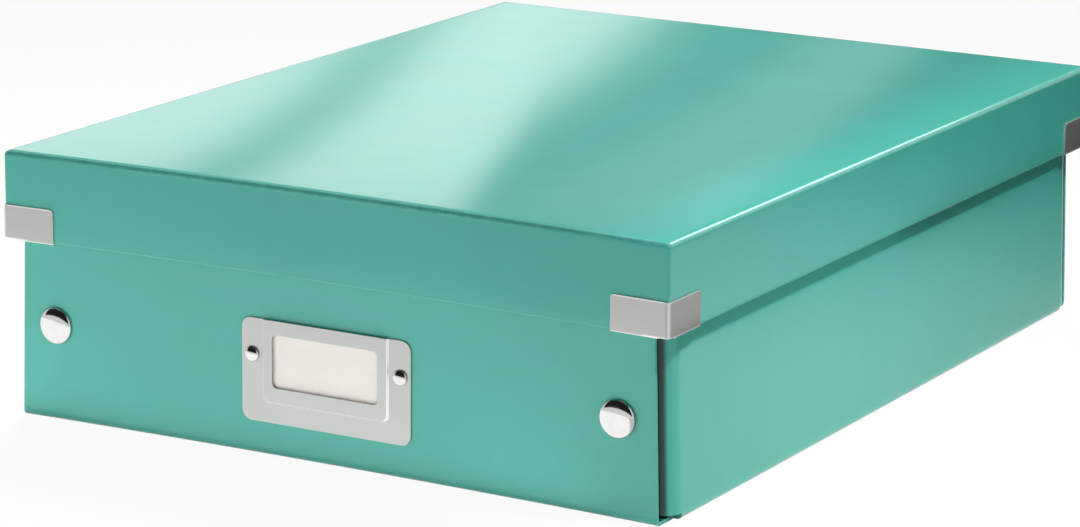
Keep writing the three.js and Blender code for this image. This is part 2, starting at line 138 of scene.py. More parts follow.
# Reflected cards of the studio: corners in metres
CARDS = {
    "card_left": (
        (-1.301, 1.132, 0.310), (-0.858, 1.384, 0.305), (-1.179, 1.202, 0.575), (-1.563, 0.984, 0.579),
    ),
    "card_middle": (
        (-0.822, 1.405, 0.305), (-0.659, 1.497, 0.303), (-0.816, 1.408, 0.426),
        (-0.842, 1.393, 0.476), (-0.881, 1.371, 0.571), (-1.105, 1.244, 0.574),
    ),
    "card_right": (
        (-0.525, 1.574, 0.302), (-0.492, 1.592, 0.301), (-0.688, 1.481, 0.569), (-0.886, 1.368, 0.572),
    ),
}
DARK_BACKDROP = ((-3.3, 0.5, 0.03), (0.9, 3.0, 0.03), (0.9, 3.0, 2.4), (-3.3, 0.5, 2.4))
DARK_CEILING = ((-3.6, -2.6, 0.10), (2.2, -2.6, 0.10), (1.6, -0.4, 2.4), (-3.0, -0.4, 2.4))
DARK_FLOOR = ((0.143, -0.5, 0.0003), (1.4, -0.5, 0.0003), (1.4, 2.0, 0.0003), (0.143, 2.0, 0.0003))
FRONT_SHEET = ((-0.75, -0.43, 0.0003), (0.135, -0.43, 0.0003), (0.135, -0.19, 0.0003), (-0.75, -0.19, 0.0003))
# Dark strips beside the right wall just under the lid's skirt: the wall mirrors them as a painted shadow band
# below the skirt, and the rear one also holds back bounced light there.
SKIRT_SHADE = ((0.152, -0.165, 0.054), (0.152, 0.01, 0.054), (0.152, 0.01, 0.063), (0.152, -0.165, 0.063))
REAR_SHADE = ((0.152, 0.01, 0.054), (0.152, 0.30, 0.054), (0.152, 0.30, 0.063), (0.152, 0.01, 0.063))
TOP_FLAG = ((0.26, -0.8, 0.62), (0.4005, -0.8, 0.62), (0.4005, 0.6, 0.62), (0.26, 0.6, 0.62))
EDGE_CARD = ((0.0, 2.0, 1.05), (0.85, 2.0, 1.05), (0.85, 2.0, 1.55), (0.0, 2.0, 1.55))

# Glow of the cards and sheets; the right card glows with a share of the others' light
RIGHT_CARD_SHARE = 0.32
FRONT_SHEET_GLOW = 1.5
SHADE_GLOW = 0.01
BACKDROP_GLOW = 0.07
DARK_GLOW = 0.02

# Floor: share that glows where it is seen directly, and its drop under the box and half width in metres
FLOOR_GLOW_SHARE = 0.94
FLOOR_DROP = 0.0002
FLOOR_REACH = 9

# Spacing beside folds, and limits of the marks for wear and painted shade, in metres
FOLD_STEP = 0.0006
FOLD_WEAR = 0.0014
LOW_EDGE_WEAR = 0.0004
FLOOR_FOLD_WEAR = 0.001
PANEL_BACK = 0.18
SHADE_WIDTH = 0.0008

# Share of wear on the board and of painted highlight on the metal, by place, and the colours that wear,
# painted highlight and painted shade lead to
WEAR_AND_HIGHLIGHT = {
    "lid_edge": 0.8, "lid_fold": 0.5, "tray_fold": 0.3,
    "clip_edge": 0.8, "clip_fold": 0.6, "pocket_step": 0.9,
}
WORN_LIFT = (0.16, 0.16, 0.15)
GAP_SHADE_TONE = 0.12
POCKET_STEP_HIGHLIGHT = (0.95, 0.96, 0.94)
CLIP_EDGE_HIGHLIGHT = (0.93, 0.93, 0.91)


class BoxSettings(bpy.types.PropertyGroup):
    """Finishes and small shapes of the box"""

    board_colour: FloatVectorProperty(
        name="Board colour", description="Covering of the board", subtype="COLOR", size=3, min=0, max=1,
        default=(0.060, 0.455, 0.372),
    )
    cut_colour: FloatVectorProperty(
        name="Cut edge colour", description="Cut edges of the tray's board",
        subtype="COLOR", size=3, min=0, max=1,
        default=(0.12, 0.42, 0.35),
    )
    plate_colour: FloatVectorProperty(
        name="Holder colour", description="Satin metal of the label holder",
        subtype="COLOR", size=3, min=0, max=1,
        default=(0.465, 0.48, 0.46),
    )
    clip_colour: FloatVectorProperty(
        name="Clip colour", description="Brushed metal of the corner clips",
        subtype="COLOR", size=3, min=0, max=1,
        default=(0.44, 0.44, 0.425),
    )
    chrome_colour: FloatVectorProperty(
        name="Stud colour", description="Bright metal of the studs and rivets",
        subtype="COLOR", size=3, min=0, max=1,
        default=(0.60, 0.60, 0.59),
    )
    card_colour: FloatVectorProperty(
        name="Card colour", description="Paper of the label card", subtype="COLOR", size=3, min=0, max=1,
        default=(1.0, 0.955, 0.895),
    )
    front_crown: FloatProperty(
        name="Front crown", description="How far the middle of the front edges rises",
        subtype="DISTANCE", unit="LENGTH", default=0.0011, min=0, max=0.003,
    )
    lid_edge: FloatProperty(
        name="Lid edge radius", description="Rounding of the lid's lower edge",
        subtype="DISTANCE", unit="LENGTH", default=0.00045, min=0.0001, max=0.0007,
    )
    cut_rounding: FloatProperty(
        name="Cut edge rounding", description="Rounding of the tray's cut edges",
        subtype="DISTANCE", unit="LENGTH", default=0.00035, min=0.00005, max=0.0006,
    )
    pocket_rise: FloatProperty(
        name="Pocket rise", description="How far the label holder's pocket stands out",
        subtype="DISTANCE", unit="LENGTH", default=0.0009, min=0.0005, max=0.0015,
    )


class StageSettings(bpy.types.PropertyGroup):
    """Lamps and floor of the studio"""

    key_power: FloatProperty(
        name="Side lamp", description="Power of the lamp beside the box",
        unit="POWER", default=2.3, min=0, max=50,
    )
    top_power: FloatProperty(
        name="Rear lamp", description="Power of the lamp above the rear",
        unit="POWER", default=5.2, min=0, max=80,
    )
    fill_power: FloatProperty(
        name="Front lamp", description="Power of the wide lamp in front",
        unit="POWER", default=5.0, min=0, max=80,
    )
    low_power: FloatProperty(
        name="Low lamp", description="Power of the lamp that lies in front of the box",
        unit="POWER", default=0.195, min=0, max=5,
    )
    sky_light: FloatProperty(
        name="Sky light", description="Strength of the even light from all round",
        subtype="FACTOR", default=0.17, min=0, max=1,
    )
    card_light: FloatProperty(
        name="Card light", description="Brightness of the reflected cards", default=1.37, min=0, max=5,
    )
    edge_light: FloatProperty(
        name="Edge light", description="Brightness of the card that the lid's right fold mirrors",
        default=6.0, min=0, max=20,
    )
    floor_colour: FloatVectorProperty(
        name="Floor colour", description="Pale floor", subtype="COLOR", size=3, min=0, max=1,
        default=(0.84, 0.84, 0.84),
    )


def grid_faces(rows, columns, wrap=False, flip=False):
    """Quads between neighbours of a grid whose vertex (i, j) is number i * columns + j."""
    i = np.arange(rows - 1)[:, None]
    j = np.arange(columns if wrap else columns - 1)[None, :]
    after = (j + 1) % columns
    here, beyond = i * columns, (i + 1) * columns
    quads = np.stack([here + j, here + after, beyond + after, beyond + j], -1)
    quads = quads.reshape(-1, 4)
    return quads[:, ::-1] if flip else quads


def joined(patches):
    """Patches (points, faces) put one after the other, with the face numbers moved on."""
    points, faces, count = [], [], 0
    for patch_points, patch_faces in patches:
        flat = patch_points.reshape(-1, 3)
        points.append(flat)
        faces.append(patch_faces + count)
        count += len(flat)
    return np.concatenate(points), np.concatenate(faces)


def graded(stops, spacings):
    """Numbers from stop to stop, each stretch cut evenly at about its own spacing."""
    parts = [
        np.linspace(low, high, max(1, int(round((high - low) / step))), endpoint=False)
        for low, high, step in zip(stops[:-1], stops[1:], spacings)
    ]
    return np.concatenate(parts + [np.array([stops[-1]])])


def crowned(points, crown):
    """Height grows by the crown times 1 - (x / half width)^2, eased in from the rear to the front."""
    across = 1 - np.clip(points[..., 0] / LID_HIGH.x, -1, 1) ** 2
    ahead = np.clip(0.5 - points[..., 1] / (2 * LID_HIGH.y), 0, 1)
    raised = points.copy()
    raised[..., 2] += crown * across * ahead * ahead * (3 - 2 * ahead)
    return raised


def lean(height):
    """Width of the tray at a height as a share of that at the floor: 1 - tan(lean) * height / half width."""
    return 1 - math.tan(WALL_LEAN) * height / TRAY_HALF_WIDTH


def rounded_ring(half_x, half_y, radius, along_x, along_y, around):
    """Points of a rounded rectangle, anticlockwise from the front's left end: each side cut evenly, each
    corner a quarter turn about a centre one radius in from both sides. The three sizes are columns, with one
    row per ring."""
    x, y = half_x - radius, half_y - radius
    tx = np.linspace(-1, 1, along_x, endpoint=False)[None, :]
    ty = np.linspace(-1, 1, along_y, endpoint=False)[None, :]
    turn = np.linspace(0, math.pi / 2, around, endpoint=False)[None, :]
    sine, cosine = radius * np.sin(turn), radius * np.cos(turn)
    level_x, level_y = np.ones_like(tx), np.ones_like(ty)
    ring_x = [
        x * tx, x + sine, half_x * level_y, x + cosine,
        -x * tx, -x - sine, -half_x * level_y, -x - cosine,
    ]
    ring_y = [
        -half_y * level_x, -y - cosine, y * ty, y + sine,
        half_y * level_x, y + cosine, -y * ty, -y - sine,
    ]
    return np.concatenate(ring_x, 1), np.concatenate(ring_y, 1)


def new_mesh(name, points, faces):
    """Mesh of welded quads: points that coincide become one, and faces that lose their area go."""
    mesh = bpy.data.meshes.new(name)
    mesh.from_pydata(points.reshape(-1, 3).tolist(), [], faces.tolist())
    body = bmesh.new()
    body.from_mesh(mesh)
    bmesh.ops.remove_doubles(body, verts=body.verts, dist=2e-6)
    bmesh.ops.dissolve_degenerate(body, edges=body.edges, dist=1e-7)
    body.to_mesh(mesh)
    body.free()
    mesh.update()
    if not mesh.polygons:
        raise RuntimeError(f"{name} has no faces")
    return mesh


def new_object(name, data):
    """Object at the origin, linked to the scene."""
    item = bpy.data.objects.new(name, data)
    bpy.context.scene.collection.objects.link(item)
    return item


def add_piece(name, points, faces, materials, body, slot, replaced):
    """Object at the origin that stands for the CAD nodes it replaces and moves with their body."""
    mesh = new_mesh(name, points, faces)
    for material in materials:
        mesh.materials.append(material)
    mesh.polygons.foreach_set("use_smooth", np.ones(len(mesh.polygons), bool))
    piece = new_object(name, mesh)
    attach(piece, body)
    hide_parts(*replaced)
    return piece


def thicken(piece, thickness, rounding, rim=0):
    """Sheet from a surface: its other face lies one thickness behind it, and the cut edges are rounded."""
    solid = piece.modifiers.new("Thickness", "SOLIDIFY")
    solid.thickness = thickness
    solid.offset = -1
    solid.use_even_offset = True
    solid.material_offset_rim = rim
    bevel = piece.modifiers.new("Rounding", "BEVEL")
    bevel.width = rounding
    bevel.segments = 3
    bevel.limit_method = "ANGLE"
    bevel.angle_limit = math.radians(50)
    bevel.use_clamp_overlap = True


def weigh_normals(piece):
    """Flat faces stay flat in the shading: normals are weighted by face area."""
    weighted = piece.modifiers.new("Shading", "WEIGHTED_NORMAL")
    weighted.mode = "FACE_AREA"
    weighted.keep_sharp = True


def mark(piece, name, shares):
    """Attribute of that name on each vertex, from 0 to 1: how far its colour is lightened (wear on the board,
    a painted highlight on the metal), or darkened as painted shade in a gap.
    """
    attribute = piece.data.attributes.new(name, "FLOAT", "POINT")
    attribute.data.foreach_set("value", shares.astype(np.float32))


def on_free_edge(piece):
    """Mask of the vertices on edges that belong to one face only."""
    mesh = piece.data
    used = np.zeros(len(mesh.loops), np.int32)
    mesh.loops.foreach_get("edge_index", used)
    ends = np.zeros(len(mesh.edges) * 2, np.int32)
    mesh.edges.foreach_get("vertices", ends)
    single = np.bincount(used, minlength=len(mesh.edges)) == 1
    mask = np.zeros(len(mesh.vertices), bool)
    mask[ends.reshape(-1, 2)[single].reshape(-1)] = True
    return mask


def mesh_points(piece):
    """The piece's vertices as an array of rows."""
    flat = np.zeros(len(piece.data.vertices) * 3, np.float32)
    piece.data.vertices.foreach_get("co", flat)
    return flat.reshape(-1, 3)


class Shader:
    """A material's node tree with its Principled shader and Object coordinates"""

    def __init__(self, name, colour, roughness, metallic=0.0):
        self.material = bpy.data.materials.new(name)
        self.material.use_nodes = True
        self.tree = self.material.node_tree
        self.nodes = self.tree.nodes
        self.surface = self.nodes["Principled BSDF"]
        self.surface.inputs["Base Color"].default_value = (*colour, 1)
        self.surface.inputs["Roughness"].default_value = roughness
        self.surface.inputs["Metallic"].default_value = metallic
        self.material.diffuse_color = (*colour, 1)
        self.place = self.nodes.new("ShaderNodeTexCoord").outputs["Object"]

    def link(self, source, target):
        self.tree.links.new(source, target)

    def stretched(self, scale):
        """Object coordinates with each axis scaled."""
        mapping = self.nodes.new("ShaderNodeMapping")
        mapping.inputs["Scale"].default_value = scale
        self.link(self.place, mapping.inputs["Vector"])
        return mapping.outputs["Vector"]

    def noise(self, scale, detail=3.0, place=None):
        """Noise over Object coordinates, in waves per metre."""
        noise = self.nodes.new("ShaderNodeTexNoise")
        noise.inputs["Scale"].default_value = scale
        noise.inputs["Detail"].default_value = detail
        self.link(place or self.place, noise.inputs["Vector"])
        return noise.outputs["Fac"]

    def ranged(self, value, low, high, to_low, to_high):
        """Value carried from one range to another, held at its ends."""
        ranged = self.nodes.new("ShaderNodeMapRange")
        for socket, number in zip(("From Min", "From Max", "To Min", "To Max"), (low, high, to_low, to_high)):
            ranged.inputs[socket].default_value = number
        self.link(value, ranged.inputs["Value"])
        return ranged.outputs["Result"]

    def multiplied(self, first, second):
        """Product of two values."""
        product = self.nodes.new("ShaderNodeMath")
        product.operation = "MULTIPLY"
        self.link(first, product.inputs[0])
        self.link(second, product.inputs[1])
        return product.outputs["Value"]

    def blended(self, factor, first, second):
        """Base colour that goes by a factor from the first, a colour or a mix, to a second colour."""
        mix = self.nodes.new("ShaderNodeMix")
        mix.data_type = "RGBA"
        mix.inputs["B"].default_value = (*second, 1)
        if isinstance(first, tuple):
            mix.inputs["A"].default_value = (*first, 1)
        else:
            self.link(first.outputs["Result"], mix.inputs["A"])
        self.link(factor, mix.inputs["Factor"])
        self.link(mix.outputs["Result"], self.surface.inputs["Base Color"])
        return mix

    def mottled(self, value, colour, darker, lighter, low=0.3):
        """Base colour between two tones of a colour, as a value goes from the low number to 0.7."""
        return self.blended(self.ranged(value, low, 0.7, 0, 1), tone(colour, darker), tone(colour, lighter))

    def bumped(self, heights):
        """Bump from pairs of a height value and its depth in metres, one on top of the other."""
        normal = None
        for height, depth in heights:
            bump = self.nodes.new("ShaderNodeBump")
            bump.inputs["Distance"].default_value = depth
            bump.inputs["Strength"].default_value = 1.0
            self.link(height, bump.inputs["Height"])
            if normal is not None:
                self.link(normal, bump.inputs["Normal"])
            normal = bump.outputs["Normal"]
        self.link(normal, self.surface.inputs["Normal"])
        return normal

    def attribute(self, name):
        """A value carried by the mesh."""
        node = self.nodes.new("ShaderNodeAttribute")
        node.attribute_name = name
        return node.outputs["Fac"]


def tone(colour, factor):
    """Colour made lighter or darker."""
    return tuple(min(1.0, part * factor) for part in colour)


def covered_board(settings):
    """Glossy laminated covering: faint mottling, fine paper tooth, uneven roughness, lighter worn folds and
    painted shade in the gaps beside the tray's end panels."""
    colour = tuple(settings.board_colour)
    shader = Shader("covered_board", colour, 0.42)
    surface = shader.surface
    surface.inputs["Coat Weight"].default_value = 1.0
    surface.inputs["Coat Roughness"].default_value = 0.10
    surface.inputs["Coat IOR"].default_value = 1.42
    surface.inputs["IOR"].default_value = 1.45
    surface.inputs["Specular IOR Level"].default_value = 0.2
    mix = shader.mottled(shader.noise(14, 4), colour, 0.97, 1.03)
    grain = shader.noise(420, 2)
    wear = shader.multiplied(shader.attribute("wear"), shader.ranged(grain, 0.35, 0.75, 0.15, 1))
    # Painted shade: the rolled corners are darkened in the gap beside each end panel.
    shaded = shader.blended(shader.attribute("shade"), mix, tone(colour, GAP_SHADE_TONE))
    shader.blended(wear, shaded, tuple(part + lift for part, lift in zip(colour, WORN_LIFT)))
    shader.link(shader.ranged(shader.noise(30, 3), 0.3, 0.7, 0.38, 0.48), surface.inputs["Roughness"])
    shader.bumped([(shader.noise(9, 2), 0.00004), (shader.noise(700, 2), 0.0000015)])
    return shader.material


def cut_board(settings):
    """Cut edge of the board: pale, matt, with fibres along it."""
    colour = tuple(settings.cut_colour)
    shader = Shader("cut_board", colour, 0.75)
    shader.surface.inputs["Specular IOR Level"].default_value = 0.2
    fibres = shader.noise(900, 4)
    shader.mottled(fibres, colour, 0.85, 1.1)
    shader.bumped([(fibres, 0.00003)])
    return shader.material


def satin_plate(settings):
    """Satin metal sheet of the label holder: fine grain, faint smears, and pocket steps lightened as a painted
    highlight.
    """
    colour = tuple(settings.plate_colour)
    shader = Shader("satin_plate", colour, 0.36, 0.85)
    smears = shader.noise(70, 3)
    mix = shader.mottled(smears, colour, 0.97, 1.03)
    shader.blended(shader.attribute("wear"), mix, POCKET_STEP_HIGHLIGHT)
    shader.link(shader.ranged(smears, 0.3, 0.7, 0.32, 0.42), shader.surface.inputs["Roughness"])
    shader.bumped([(shader.noise(2600, 2), 0.000002)])
    return shader.material


def brushed_clip(settings):
    """Brushed metal sheet of the clips: fine scratches that run along the legs, and edges and bends lightened
    as a painted highlight.
    """
    colour = tuple(settings.clip_colour)
    shader = Shader("brushed_clip", colour, 0.34, 0.9)
    scratches = shader.noise(1.0, 3, shader.stretched((60, 60, 5200)))
    mix = shader.mottled(scratches, colour, 0.94, 1.06)
    shader.blended(shader.attribute("wear"), mix, CLIP_EDGE_HIGHLIGHT)
    shader.link(shader.ranged(scratches, 0.3, 0.7, 0.28, 0.42), shader.surface.inputs["Roughness"])
    shader.bumped([(scratches, 0.0000025)])
    return shader.material


def bright_metal(settings):
    """Bright plated metal: nearly a mirror, with faint wipe marks."""
    colour = tuple(settings.chrome_colour)
    shader = Shader("bright_metal", colour, 0.08, 1.0)
    marks = shader.noise(240, 3)
    shader.mottled(marks, colour, 0.97, 1.02, 0.35)
    shader.link(shader.ranged(marks, 0.35, 0.7, 0.05, 0.12), shader.surface.inputs["Roughness"])
    shader.bumped([(shader.noise(1400, 2), 0.0000006)])
    return shader.material


def label_paper(settings):
    """Matt white card with fibres."""
    colour = tuple(settings.card_colour)
    shader = Shader("label_paper", colour, 0.9)
    fibres = shader.noise(1.0, 4, shader.stretched((700, 700, 1500)))
    shader.mottled(fibres, colour, 0.97, 1.02)
    shader.bumped([(fibres, 0.00001)])
    return shader.material


def finish_material(maker):
    """The material named after its maker, made once."""
    return bpy.data.materials.get(maker.__name__) or maker(bpy.context.scene.storage_box)


def refinish(name, material):
    """Give a CAD node another material; its shape stays."""
    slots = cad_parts[name].data.materials
    slots.clear()
    slots.append(material)


def lid_rows(half_width, edge):
    """Rows of the lid's shell from the middle of the top, over the fold, down the skirt, round its lower
    edge, up inside and to the middle of the underside: inset from the outer face, height, corner radius."""
    top, bottom = LID_HIGH.z, LID_LOW.z
    under = top - BOARD
    fold, inner = LID_FOLD_RADIUS, LID_INNER_FOLD_RADIUS
    quarter = np.linspace(0, math.pi / 2, 9)
    small = np.linspace(0, math.pi / 2, 6)
    top_inset = np.append(np.linspace(half_width, 0.012, 12), [0.005, fold + FOLD_STEP])
    parts = [
        (top_inset, np.full(14, top)),
        (fold - fold * np.sin(quarter), top - fold + fold * np.cos(quarter)),
        (np.zeros(6), np.linspace(top - fold - FOLD_STEP, bottom + edge + FOLD_STEP, 6)),
        (edge - edge * np.cos(small), bottom + edge - edge * np.sin(small)),
        (BOARD - edge + edge * np.sin(small), bottom + edge - edge * np.cos(small)),
        (np.full(5, BOARD), np.linspace(bottom + edge + FOLD_STEP, under - inner - FOLD_STEP, 5)),
        (BOARD + inner - inner * np.cos(small), under - inner + inner * np.sin(small)),
        (np.linspace(BOARD + inner + FOLD_STEP, half_width, 10), np.full(10, under)),
    ]
    inset = np.concatenate([part[0] for part in parts])
    height = np.concatenate([part[1] for part in parts])
    outer_count = 14 + 9 + 6 + 6
    corner = np.where(np.arange(len(inset)) < outer_count, LID_CORNER_RADIUS, LID_INNER_CORNER_RADIUS)
    inwards = np.clip((inset - fold) / (half_width - fold), 0, 1)
    return inset, height, corner * (1 - inwards)


def lid_surface(settings):
    """Closed shell: one ring of a rounded rectangle for each row of lid_rows, from the first to the last."""
    half_width, half_depth = LID_HIGH.x, LID_HIGH.y
    inset, height, corner = lid_rows(half_width, settings.lid_edge)
    x, y = rounded_ring(
        (half_width - inset)[:, None], (half_depth - inset)[:, None], corner[:, None], 40, 52, 7,
    )
    points = np.stack([x, y, np.broadcast_to(height[:, None], x.shape)], -1)
    return crowned(points, settings.front_crown), grid_faces(len(inset), x.shape[1], wrap=True, flip=True)


def channel_patch(columns_x, rows_y):
    """Floor and the two lower folds across the box, carried along its depth: a quarter turn at each side, and
    the flat floor between them."""
    turn = np.linspace(0, math.pi / 2, 7)
    centre = TRAY_HALF_WIDTH - TRAY_FOLD_RADIUS
    fold_x = centre + TRAY_FOLD_RADIUS * np.cos(turn)
    fold_z = TRAY_FOLD_RADIUS - TRAY_FOLD_RADIUS * np.sin(turn)
    x = np.concatenate([[-TRAY_HALF_WIDTH], -fold_x, columns_x, fold_x[::-1], [TRAY_HALF_WIDTH]])
    z = np.concatenate([[TAB_BOTTOM], fold_z, np.zeros(len(columns_x)), fold_z[::-1], [TAB_BOTTOM]])
    x = x * lean(z)
    points = np.stack(np.broadcast_arrays(x[None, :], rows_y[:, None], z[None, :]), -1)
    return points, grid_faces(len(rows_y), len(x), flip=True)


def wall_patch(side, rows_y):
    """One side wall with its rolled corners and tabs: a plan path of tab, quarter turn, wall, quarter turn
    and tab, carried upwards and leant in. The tab's free corners are quarter circles in its own plane."""
    root = TRAY_HALF_WIDTH - ROLLED_CORNER_RADIUS
    end = TRAY_HALF_WIDTH - TAB_LENGTH
    tab_x = np.concatenate([
        end + TAB_CORNER_RADIUS * (1 - np.cos(np.linspace(0, math.pi / 2, 9, endpoint=False))),
        np.linspace(end + TAB_CORNER_RADIUS, root, 14, endpoint=False),
    ])
    turn = np.linspace(0, math.pi / 2, 17)[:-1]
    roll_x = root + ROLLED_CORNER_RADIUS * np.sin(turn)
    roll_y = TAB_FACE - ROLLED_CORNER_RADIUS + ROLLED_CORNER_RADIUS * np.cos(turn)
    x = np.concatenate([tab_x, roll_x, np.full(len(rows_y), TRAY_HALF_WIDTH), roll_x[::-1], tab_x[::-1]])
    flat = np.full(len(tab_x), TAB_FACE)
    y = np.concatenate([-flat, -roll_y, rows_y, roll_y[::-1], flat])
    past = np.clip(TAB_CORNER_RADIUS - (x - end), 0, TAB_CORNER_RADIUS)
    cut = TAB_CORNER_RADIUS - np.sqrt(TAB_CORNER_RADIUS**2 - past**2)
    share = np.linspace(0, 1, 15)[:, None]
    z = (TAB_BOTTOM + cut)[None, :] * (1 - share) + (TRAY_HIGH.z - cut)[None, :] * share
    points = np.stack(np.broadcast_arrays(side * x[None, :] * lean(z), y[None, :], z), -1)
    return points, grid_faces(len(share), len(x), flip=side < 0)


def end_patch(end, columns_x, from_y):
    """Floor end, lower fold and upright panel: a path in the depth carried across, whose width follows the
    lean and ends in quarter circles at the two upper corners."""
    face = -TRAY_LOW.y
    turn = np.linspace(0, math.pi / 2, 7)
    centre = face - TRAY_FOLD_RADIUS
    top = TRAY_HIGH.z
    straight = np.linspace(TRAY_FOLD_RADIUS + FOLD_STEP, top - PANEL_CORNER_RADIUS, 12)
    ending = top - PANEL_CORNER_RADIUS + PANEL_CORNER_RADIUS * np.sin(np.linspace(0, math.pi / 2, 9)[1:])
    y = np.concatenate([[from_y, centre - FOLD_STEP], centre + TRAY_FOLD_RADIUS * np.sin(turn),
                        np.full(len(straight) + len(ending), face)])
    z = np.concatenate([[0, 0], TRAY_FOLD_RADIUS * (1 - np.cos(turn)), straight, ending])
    past = np.clip(z - (top - PANEL_CORNER_RADIUS), 0, PANEL_CORNER_RADIUS)
    cut = PANEL_CORNER_RADIUS - np.sqrt(np.clip(PANEL_CORNER_RADIUS**2 - past**2, 0, None))
    half = (TRAY_HALF_WIDTH - PANEL_INSET) * lean(z)
    x = columns_x[None, :] / columns_x.max() * (half - cut)[:, None]
    points = np.stack(np.broadcast_arrays(x, end * y[:, None], z[:, None]), -1)
    return points, grid_faces(len(z), len(columns_x), flip=end > 0)


def tray_surface(settings):
    """Outer face of the folded board: the channel, two walls and two ends, welded where they share points."""
    from_y = TAB_FACE - ROLLED_CORNER_RADIUS
    panel_half = TRAY_HALF_WIDTH - PANEL_INSET
    panel_x = np.linspace(-panel_half, panel_half, 41)
    edge = TRAY_HALF_WIDTH - TRAY_FOLD_RADIUS - 0.0001
    columns_x = np.concatenate([[-edge], panel_x, [edge]])
    rows_y = np.linspace(-from_y, from_y, 37)
    patches = [channel_patch(columns_x, rows_y)]
    patches += [wall_patch(side, rows_y) for side in (-1, 1)]
    patches += [end_patch(end, panel_x, from_y) for end in (-1, 1)]
    points, faces = joined(patches)
    return crowned(points, settings.front_crown), faces


def clip_surface(corner, settings):
    """Outer face of a clip round the lid's corner: an L path with a bend carries the plate, and on each leg
    the lower edge turns under the board and up again as a lip. The free corners are quarter circles."""
    offset = CLIP_FIT + CLIP_SHEET
    bend = LID_CORNER_RADIUS + offset
    leg = np.concatenate([
        CLIP_LEG - CLIP_CORNER_RADIUS * (1 - np.cos(np.linspace(0, math.pi / 2, 7, endpoint=False))),
        np.linspace(CLIP_LEG - CLIP_CORNER_RADIUS, CLIP_NOTCH, 8),
    ])
    near = np.linspace(CLIP_NOTCH, LID_CORNER_RADIUS, 4)[1:]
    turn = np.linspace(0, math.pi / 2, 9)[1:-1]
    x = np.concatenate([
        -leg, -near, -LID_CORNER_RADIUS + bend * np.sin(turn), np.full(len(near) + len(leg), offset),
    ])
    y = np.concatenate([
        np.full(len(near) + len(leg), -offset), LID_CORNER_RADIUS - bend * np.cos(turn),
        near[::-1], leg[::-1],
    ])
    reach = np.maximum(-x, y)
    past = np.clip(reach - (CLIP_LEG - CLIP_CORNER_RADIUS), 0, CLIP_CORNER_RADIUS)
    cut = CLIP_CORNER_RADIUS - np.sqrt(CLIP_CORNER_RADIUS**2 - past**2)
    share = np.array([0, 0.05, 0.2, 0.4, 0.6, 0.8, 0.95, 1])[:, None]
    z = -CLIP_FIT * (1 - share) + (CLIP_HEIGHT - cut)[None, :] * share
    plate = np.stack(np.broadcast_arrays(x[None, :], y[None, :], z), -1)
    patches = [(plate, grid_faces(len(share), len(x)))]
    small = np.linspace(0, math.pi / 2, 5)
    across = np.concatenate([
        CLIP_FIT + CLIP_SHEET * np.cos(small), -BOARD - CLIP_FIT - CLIP_SHEET * np.sin(small),
        [-BOARD - offset] * 2,
    ])
    down = np.concatenate([
        -CLIP_FIT - CLIP_SHEET * np.sin(small), -CLIP_FIT - CLIP_SHEET * np.cos(small),
        [CLIP_LIP / 2, CLIP_LIP],
    ])
    front = np.stack(np.broadcast_arrays(-leg[None, :], -across[:, None], down[:, None]), -1)
    flank = np.stack(np.broadcast_arrays(across[:, None], leg[None, :], down[:, None]), -1)
    patches.append((front, grid_faces(len(across), len(leg), flip=True)))
    patches.append((flank, grid_faces(len(across), len(leg))))
    points, faces = joined(patches)
    for _ in range(CORNERS.index(corner)):
        points = np.stack([-points[:, 1], points[:, 0], points[:, 2]], -1)
    sign_x = 1 if corner.endswith("right") else -1
    sign_y = -1 if corner.startswith("front") else 1
    points = points + np.array([sign_x * LID_HIGH.x, sign_y * LID_HIGH.y, LID_LOW.z])
    return crowned(points, settings.front_crown), faces


def perimeter(columns, rows):
    """Points once round a rectangle whose sides are cut at the given columns and rows, anticlockwise."""
    x = np.concatenate([columns[:-1], np.full(len(rows) - 1, columns[-1]), columns[:0:-1],
                        np.full(len(rows) - 1, columns[0])])
    z = np.concatenate([np.full(len(columns) - 1, rows[0]), rows[:-1], np.full(len(columns) - 1, rows[-1]),
                        rows[:0:-1]])
    return np.stack([x, z], -1)


def on_outline(loop, half_x, low, high, radius):
    """Each point of a loop moved straight to the nearest point of a rounded rectangle: away from the nearest
    point of the rectangle's core by one radius."""
    core = np.stack([
        np.clip(loop[:, 0], -half_x + radius, half_x - radius),
        np.clip(loop[:, 1], low + radius, high - radius),
    ], -1)
    away = loop - core
    return core + radius * away / np.linalg.norm(away, axis=1)[:, None]


def pocket_height(x, z, rise):
    """How far the plate stands out: the rise inside a U with rounded lower corners, eased to nothing at its
    outline over the draft."""
    corner = POCKET_CORNER_RADIUS
    over_x = np.abs(x) - (POCKET_HALF_WIDTH - corner)
    over_z = (POCKET_FLOOR + corner) - z
    outside = np.hypot(np.maximum(over_x, 0), np.maximum(over_z, 0))
    distance = outside + np.minimum(np.maximum(over_x, over_z), 0) - corner
    share = np.clip(-distance / POCKET_DRAFT, 0, 1)
    return rise * share * share * (3 - 2 * share)


